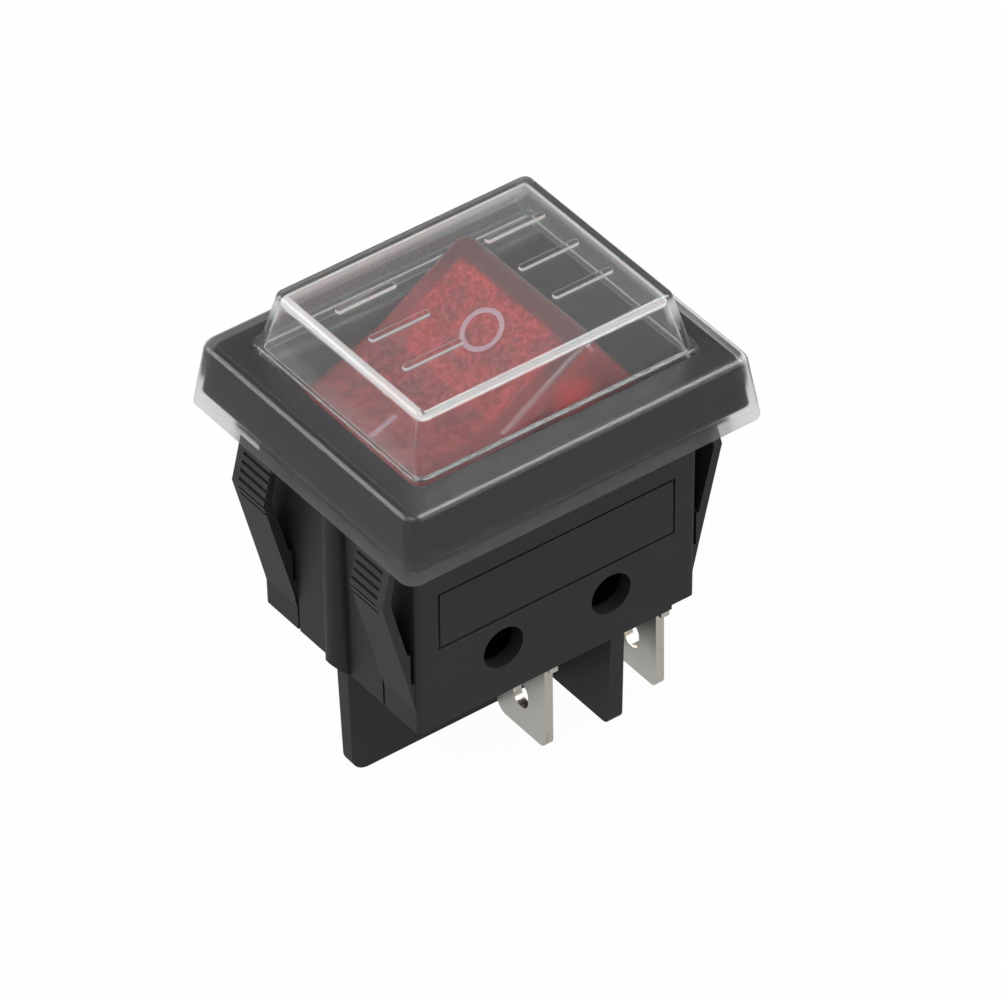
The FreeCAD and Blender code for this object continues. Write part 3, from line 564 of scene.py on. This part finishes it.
def select_only(piece):
    """Deselects the rest and makes this piece the active one."""
    bpy.ops.object.select_all(action="DESELECT")
    piece.select_set(True)
    bpy.context.view_layer.objects.active = piece


def begin(piece):
    """Only this piece selected, in edit mode, with nothing selected in it."""
    select_only(piece)
    bpy.ops.object.mode_set(mode="EDIT")
    bpy.ops.mesh.select_all(action="DESELECT")


def end():
    """Back to object mode."""
    bpy.ops.object.mode_set(mode="OBJECT")


def middle_and_run(edge):
    """The middle of an edge and its direction."""
    first, second = (corner.co for corner in edge.verts)
    return (first + second) / 2, (second - first).normalized()


def pick(piece, kind, test):
    """Selects the faces, or the edges, whose middle and direction pass a test."""
    bpy.ops.mesh.select_all(action="DESELECT")
    bpy.ops.mesh.select_mode(type=kind)
    mesh = bmesh.from_edit_mesh(piece.data)
    if kind == "FACE":
        chosen = [face for face in mesh.faces if test(face.calc_center_median(), face.normal)]
    else:
        chosen = [edge for edge in mesh.edges if test(*middle_and_run(edge))]
    for item in chosen:
        item.select_set(True)
    if not chosen:
        raise RuntimeError("nothing to select on " + piece.name)
    bmesh.update_edit_mesh(piece.data)


def new_block(name, low, high):
    """A cube at its size and place, ready to be shaped."""
    bpy.ops.object.select_all(action="DESELECT")
    middle = [(a + b) / 2 for a, b in zip(low, high)]
    size = [b - a for a, b in zip(low, high)]
    bpy.ops.mesh.primitive_cube_add(size=1, location=middle, scale=size)
    piece = bpy.context.object
    piece.name = name
    piece.data.name = name
    bpy.ops.object.transform_apply(location=True, rotation=True, scale=True)
    return piece


def drafted_block(name, lower, upper, z0, z1, corner, corner_steps, edge, edge_steps, middle=(0, 0)):
    """A block that leans in to its top, with round upright corners and a round top edge."""
    x, y = middle
    piece = new_block(name, (x - lower[0], y - lower[1], z0), (x + lower[0], y + lower[1], z1))
    begin(piece)
    pick(piece, "FACE", lambda place, normal: normal.z > 0.9)
    bpy.ops.transform.resize(value=(upper[0] / lower[0], upper[1] / lower[1], 1), center_override=(x, y, z1))
    if corner > 0:
        pick(piece, "EDGE", lambda place, run: abs(run.z) > 0.5)
        bpy.ops.mesh.bevel(offset=corner, segments=corner_steps, affect="EDGES", clamp_overlap=False)
    if edge > 0:
        pick(piece, "EDGE", lambda place, run: abs(place.z - z1) < 1e-6)
        bpy.ops.mesh.bevel(offset=edge, segments=edge_steps, affect="EDGES", clamp_overlap=False)
    bpy.ops.mesh.select_all(action="SELECT")
    bpy.ops.mesh.normals_make_consistent(inside=False)
    end()
    return piece


def combine(piece, tool, operation):
    """Joins or cuts with another piece, which is used up."""
    select_only(piece)
    modifier = piece.modifiers.new("shape", "BOOLEAN")
    modifier.object = tool
    modifier.operation = operation
    modifier.solver = "EXACT"
    bpy.ops.object.modifier_apply(modifier=modifier.name)
    bpy.data.objects.remove(tool)


def smooth(piece, degrees):
    """Smooth shading with sharp edges kept, and flat faces that shade flat."""
    select_only(piece)
    bpy.ops.object.shade_smooth_by_angle(angle=math.radians(degrees))
    modifier = piece.modifiers.new("flat_faces", "WEIGHTED_NORMAL")
    modifier.keep_sharp = True
    bpy.ops.object.modifier_apply(modifier=modifier.name)


def make_cap(sizes):
    """Flange, plinth, hat and ribs joined, then hollowed out."""
    half_x = sizes.flange_length / 2
    half_y = sizes.flange_width / 2
    top = sizes.flange_height
    hat_foot = top + sizes.plinth_height
    hat_top = CAP_HIGH.z - sizes.rib_height
    sink = sizes.roof / 2

    def flange_half(z, wall=0.0):
        """Half the flange's sides at a height."""
        share = z / top
        return (half_x - sizes.flange_draft_x * share - wall, half_y - sizes.flange_draft_y * share - wall)

    def hat_half(z, wall=0.0):
        """Half the hat's sides at a height."""
        share = (z - hat_foot) / (hat_top - hat_foot)
        return (sizes.hat_half_x - sizes.hat_draft_x * share - wall,
                sizes.hat_half_y - sizes.hat_draft_y * share - wall)

    cap = drafted_block("clear_cap", flange_half(0), flange_half(top), 0, top,
                        sizes.flange_corner, 8, sizes.flange_edge, 5)
    plinth_half = (sizes.hat_half_x + sizes.ledge, sizes.hat_half_y + sizes.ledge)
    plinth = drafted_block("plinth", plinth_half, plinth_half, top - sink, hat_foot,
                           sizes.plinth_corner, 8, sizes.plinth_height / 3, 3)
    combine(cap, plinth, "UNION")
    hat = drafted_block("hat", hat_half(hat_foot - sink), hat_half(hat_top), hat_foot - sink, hat_top,
                        sizes.hat_corner, 8, sizes.hat_edge, 6)
    combine(cap, hat, "UNION")
    rib_half = ((sizes.rib_end - sizes.rib_start) / 2, sizes.rib_width / 2)
    rib_upper = (rib_half[0] - RIB_LEAN, rib_half[1] - RIB_LEAN)
    rib_middle = (sizes.rib_start + sizes.rib_end) / 2
    for side in (-1, 1):
        for row in (-1, 0, 1):
            place = (side * rib_middle, row * sizes.rib_pitch)
            rib = drafted_block("rib", rib_half, rib_upper, hat_top - sizes.hat_roof / 2, CAP_HIGH.z,
                                rib_half[1] * 0.75, 4, RIB_EDGE, 2, place)
            combine(cap, rib, "UNION")

    roof_under = top - sizes.roof
    lip_half = (sizes.lip_half_x, sizes.lip_half_y)
    lip_space = drafted_block("lip_space", lip_half, lip_half, -CUT_REACH, sizes.lip_height + CUT_OVERLAP,
                              LIP_CORNER, 5, 0, 1)
    combine(cap, lip_space, "DIFFERENCE")
    flange_space = drafted_block("flange_space", flange_half(sizes.lip_height, sizes.wall),
                                 flange_half(roof_under, sizes.wall), sizes.lip_height, roof_under,
                                 BEZEL_CORNER, 6, BEZEL_EDGE, 4)
    combine(cap, flange_space, "DIFFERENCE")
    inner_foot = roof_under - CUT_REACH
    inner_top = hat_top - sizes.hat_roof
    hat_space = drafted_block("hat_space", hat_half(inner_foot, sizes.hat_wall),
                              hat_half(inner_top, sizes.hat_wall), inner_foot, inner_top,
                              sizes.hat_corner - sizes.hat_wall / 2, 6, sizes.hat_edge * 0.75, 4)
    combine(cap, hat_space, "DIFFERENCE")
    begin(cap)
    bpy.ops.mesh.select_all(action="SELECT")
    bpy.ops.mesh.remove_doubles(threshold=0.000002)
    bpy.ops.mesh.normals_make_consistent(inside=False)
    end()
    smooth(cap, 40)
    cap.data.materials.append(clear_plastic(sizes))
    return cap


def seat_on_rocker(piece, side, place):
    """Lays a mark on one half of the rocker's top, at a distance from the V."""
    on_face = Matrix.Translation((side * place * math.cos(V_ANGLE), 0, V_HEIGHT + place * math.sin(V_ANGLE)))
    tilt = Matrix.Rotation(-ROCKER_TILT, 4, "Y")
    piece.matrix_world = (Matrix.Translation(ROCKER_PIVOT) @ tilt @ on_face
                          @ Matrix.Rotation(-side * V_ANGLE, 4, "Y"))
    select_only(piece)
    bpy.ops.object.transform_apply(location=True, rotation=True, scale=True)


def make_ring(sizes):
    """The O: a disc, inset and raised."""
    bpy.ops.object.select_all(action="DESELECT")
    bpy.ops.mesh.primitive_circle_add(vertices=72, radius=sizes.ring_outer / 2, fill_type="NGON",
                                      location=(0, 0, 0))
    ring = bpy.context.object
    ring.name = "off_mark"
    begin(ring)
    bpy.ops.mesh.select_all(action="SELECT")
    bpy.ops.mesh.normals_make_consistent(inside=False)
    bpy.ops.mesh.inset(thickness=sizes.stroke)
    bpy.ops.mesh.delete(type="FACE")
    bpy.ops.mesh.select_all(action="SELECT")
    bpy.ops.mesh.extrude_region_move(TRANSFORM_OT_translate={"value": (0, 0, sizes.thickness)})
    bpy.ops.mesh.select_all(action="SELECT")
    bpy.ops.mesh.normals_make_consistent(inside=False)
    end()
    return ring


def make_bar(sizes):
    """The I: a thin block with round ends."""
    half = (sizes.bar_end - sizes.bar_start) / 2
    return drafted_block("on_mark", (half, sizes.stroke / 2), (half, sizes.stroke / 2), 0, sizes.thickness,
                         sizes.stroke * 0.3, 4, 0, 1)


# Operators, one for each piece

class SWITCH_OT_housing(bpy.types.Operator):
    """Finish the black housing"""
    bl_idname = "switch.housing"
    bl_label = "Housing"

    def execute(self, context):
        dress(black_nylon(context.scene.switch_housing), "housing")
        return {"FINISHED"}


class SWITCH_OT_rocker(bpy.types.Operator):
    """Finish the red rocker"""
    bl_idname = "switch.rocker"
    bl_label = "Rocker"

    def execute(self, context):
        dress(red_translucent(context.scene.switch_rocker), "rocker")
        return {"FINISHED"}


class SWITCH_OT_marks(bpy.types.Operator):
    """Print the O and the I on the rocker"""
    bl_idname = "switch.marks"
    bl_label = "Marks"

    def execute(self, context):
        sizes = context.scene.switch_marks
        ink = mark_ink(sizes)
        ring = make_ring(sizes)
        bar = make_bar(sizes)
        seat_on_rocker(ring, 1, sizes.ring_place)
        seat_on_rocker(bar, -1, (sizes.bar_start + sizes.bar_end) / 2)
        for mark in (ring, bar):
            mark.data.materials.append(ink)
            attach(mark, "rocker")
        return {"FINISHED"}


class SWITCH_OT_cap(bpy.types.Operator):
    """Model the clear waterproof cap"""
    bl_idname = "switch.cap"
    bl_label = "Clear cap"

    def execute(self, context):
        cap = make_cap(context.scene.switch_cap)
        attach(cap, "case")
        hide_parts("waterproof_cap")
        return {"FINISHED"}


class SWITCH_OT_terminals(bpy.types.Operator):
    """Finish the push-on terminals"""
    bl_idname = "switch.terminals"
    bl_label = "Terminals"

    def execute(self, context):
        metal = context.scene.switch_metal
        tinned = bright_metal("tinned_brass", metal.tin, metal.brass, (300, 5000, 300), 0.26)
        for side in ("front", "rear"):
            dress(tinned, "centre_terminal_" + side, "end_terminal_" + side)
        return {"FINISHED"}


class SWITCH_OT_mechanism(bpy.types.Operator):
    """Finish the contacts, springs, plungers, lamp and resistor"""
    bl_idname = "switch.mechanism"
    bl_label = "Mechanism"

    def execute(self, context):
        metal = context.scene.switch_metal
        brass = bright_metal("rolled_brass", metal.brass, metal.brass, (300, 4000, 300), 0.3)
        silver = bright_metal("contact_silver", metal.silver, metal.silver, (1500, 1500, 1500), 0.3)
        steel = bright_metal("spring_steel", metal.steel, metal.steel, (2000, 2000, 6000), 0.28)
        wire = bright_metal("tinned_wire", metal.tin, metal.tin, (3000, 3000, 3000), 0.32)
        for side in ("front", "rear"):
            dress(brass, "contact_bridge_" + side)
            dress(silver, "moving_contact_" + side, "fixed_contact_" + side)
            dress(steel, "plunger_spring_" + side)
            dress(wire, "lamp_lead_" + side)
        dress(white_nylon(), "plunger_front", "plunger_rear")
        dress(lamp_glass(), "neon_lamp")
        dress(resistor_coat(), "ballast_resistor")
        return {"FINISHED"}


class SWITCH_OT_stage(bpy.types.Operator):
    """Set up the floor, the light and the camera"""
    bl_idname = "switch.stage"
    bl_label = "Studio"

    def execute(self, context):
        studio = context.scene.switch_studio
        make_floor(studio)
        make_world(context.scene, studio)
        make_lights(studio)
        make_camera(context.scene, studio)
        context.scene.view_settings.view_transform = "Standard"
        return {"FINISHED"}


# Studio

def ray_kinds(finish):
    """Masks for rays that see the background: straight or through the cap, off a shiny face, and both."""
    path = finish.make("ShaderNodeLightPath")

    def kind(name):
        return Value(finish, path.outputs[name]).math("MINIMUM", 1.0)

    straight = (kind("Is Camera Ray") + kind("Is Transmission Ray")).math("MINIMUM", 1.0)
    mirrored = kind("Glossy Depth")
    glossy = kind("Is Glossy Ray") * (1 - straight)
    unscattered = 1 - kind("Diffuse Depth")
    return straight * (1 - mirrored) * unscattered, glossy * unscattered, straight * mirrored * unscattered


def make_floor(studio):
    """A wide pale floor that is white to the camera and keeps the shadow."""
    bpy.ops.object.select_all(action="DESELECT")
    bpy.ops.mesh.primitive_plane_add(size=3, location=(0, 0, 0))
    floor = bpy.context.object
    floor.name = "floor"
    begin(floor)
    bpy.ops.mesh.select_all(action="SELECT")
    bpy.ops.mesh.subdivide(number_cuts=3)
    bpy.ops.transform.translate(value=(0, 0, studio.floor_level))
    end()
    material, finish = new_finish("studio_floor")
    cloud = finish.noise(finish.place(), 30, 2.0)
    pale = finish.blend(cloud, (0.80, 0.80, 0.80), (0.82, 0.82, 0.82))
    matt = finish.node("ShaderNodeBsdfDiffuse", {}, {"Color": pale})
    seen, glossy, both = ray_kinds(finish)
    shown = (seen + glossy + both) * studio.floor_white
    strength = seen + glossy * studio.floor_gloss + both * studio.inner_white
    painted_light = finish.node("ShaderNodeEmission", {}, {"Color": (1, 1, 1), "Strength": strength})
    finish.show(finish.mix(shown, matt, painted_light))
    floor.data.materials.append(material)


def make_world(scene, studio):
    """White to the camera and through the cap, with softboxes to reflect."""
    world = bpy.data.worlds.new("studio_world")
    scene.world = world
    finish = Finish(world)
    seen, glossy, both = ray_kinds(finish)
    direction = finish.node("ShaderNodeTexCoord", output="Generated")

    def softbox(toward, near, far):
        """1 within an angle of a direction, 0 outside a wider one."""
        likeness = finish.likeness(direction, Vector(toward).normalized())
        return likeness.step(math.cos(math.radians(far)), math.cos(math.radians(near)))

    boxes = softbox((0.45, -0.25, 0.86), 14, 26) * studio.front_box
    boxes = boxes + softbox((-0.72, 0.62, 0.30), 16, 27) * studio.side_box
    mirrored = glossy * (boxes + studio.reflected) + both * (boxes + studio.inner_white)
    shown = seen + mirrored + (1 - seen - glossy - both) * studio.ambient
    background = finish.node("ShaderNodeBackground", {}, {"Color": (1, 1, 1), "Strength": shown})
    finish.make("ShaderNodeOutputWorld", {}, {"Surface": background})


def aim(thing, place, target):
    """Places a light so that it faces a point."""
    thing.location = place
    thing.rotation_euler = (Vector(target) - Vector(place)).to_track_quat("-Z", "Y").to_euler()


def make_lights(studio):
    """Two large soft lights."""
    for name, power, size, place in (
            ("key_light", studio.key, 0.35, (-0.25, -0.05, 0.42)),
            ("fill_light", studio.fill, 0.30, (0.30, -0.35, 0.22))):
        data = bpy.data.lights.new(name, "AREA")
        data.energy = power
        data.size = size
        lamp = bpy.data.objects.new(name, data)
        bpy.context.scene.collection.objects.link(lamp)
        aim(lamp, place, (0, 0, -0.008))


def make_camera(scene, studio):
    """Camera at the photograph's direction and distance."""
    turn = math.radians(studio.azimuth)
    climb = math.radians(studio.elevation)
    roll = math.radians(studio.roll)
    back = Vector((math.sin(turn) * math.cos(climb), -math.cos(turn) * math.cos(climb), math.sin(climb)))
    level = Vector((math.cos(turn), math.sin(turn), 0))
    rise = back.cross(level)
    right = level * math.cos(roll) + rise * math.sin(roll)
    up = rise * math.cos(roll) - level * math.sin(roll)
    target = right * studio.aim_right + up * studio.aim_up
    data = bpy.data.cameras.new("camera")
    data.lens = studio.lens
    data.sensor_width = 36
    data.clip_start = 0.01
    data.clip_end = 10
    camera = bpy.data.objects.new("camera", data)
    scene.collection.objects.link(camera)
    turned = Matrix((right, up, back)).transposed().to_4x4()
    camera.matrix_world = Matrix.Translation(target + back * studio.distance) @ turned
    scene.camera = camera


# Panel and registration

class SWITCH_PT_sidebar(bpy.types.Panel):
    """Sizes and steps of the switch"""
    bl_label = "Rocker Switch"
    bl_idname = "SWITCH_PT_sidebar"
    bl_space_type = "VIEW_3D"
    bl_region_type = "UI"
    bl_category = "Switch"

    def draw(self, context):
        for operator in OPERATORS:
            self.layout.operator(operator.bl_idname)
        for name, group in SIZES:
            box = self.layout.box()
            box.label(text=group.__doc__)
            for item in group.__annotations__:
                box.prop(getattr(context.scene, name), item)


OPERATORS = (
    SWITCH_OT_housing,
    SWITCH_OT_rocker,
    SWITCH_OT_marks,
    SWITCH_OT_cap,
    SWITCH_OT_terminals,
    SWITCH_OT_mechanism,
    SWITCH_OT_stage,
)


def register():
    for name, group in SIZES:
        bpy.utils.register_class(group)
        setattr(bpy.types.Scene, name, bpy.props.PointerProperty(type=group))
    for operator in OPERATORS:
        bpy.utils.register_class(operator)
    bpy.utils.register_class(SWITCH_PT_sidebar)


def unregister():
    bpy.utils.unregister_class(SWITCH_PT_sidebar)
    for operator in reversed(OPERATORS):
        bpy.utils.unregister_class(operator)
    for name, group in reversed(SIZES):
        delattr(bpy.types.Scene, name)
        bpy.utils.unregister_class(group)


def main():
    """Makes the whole switch and its studio."""
    register()
    bpy.ops.switch.housing()
    bpy.ops.switch.rocker()
    bpy.ops.switch.marks()
    bpy.ops.switch.cap()
    bpy.ops.switch.terminals()
    bpy.ops.switch.mechanism()
    bpy.ops.switch.stage()


if __name__ == "__main__":
    main()
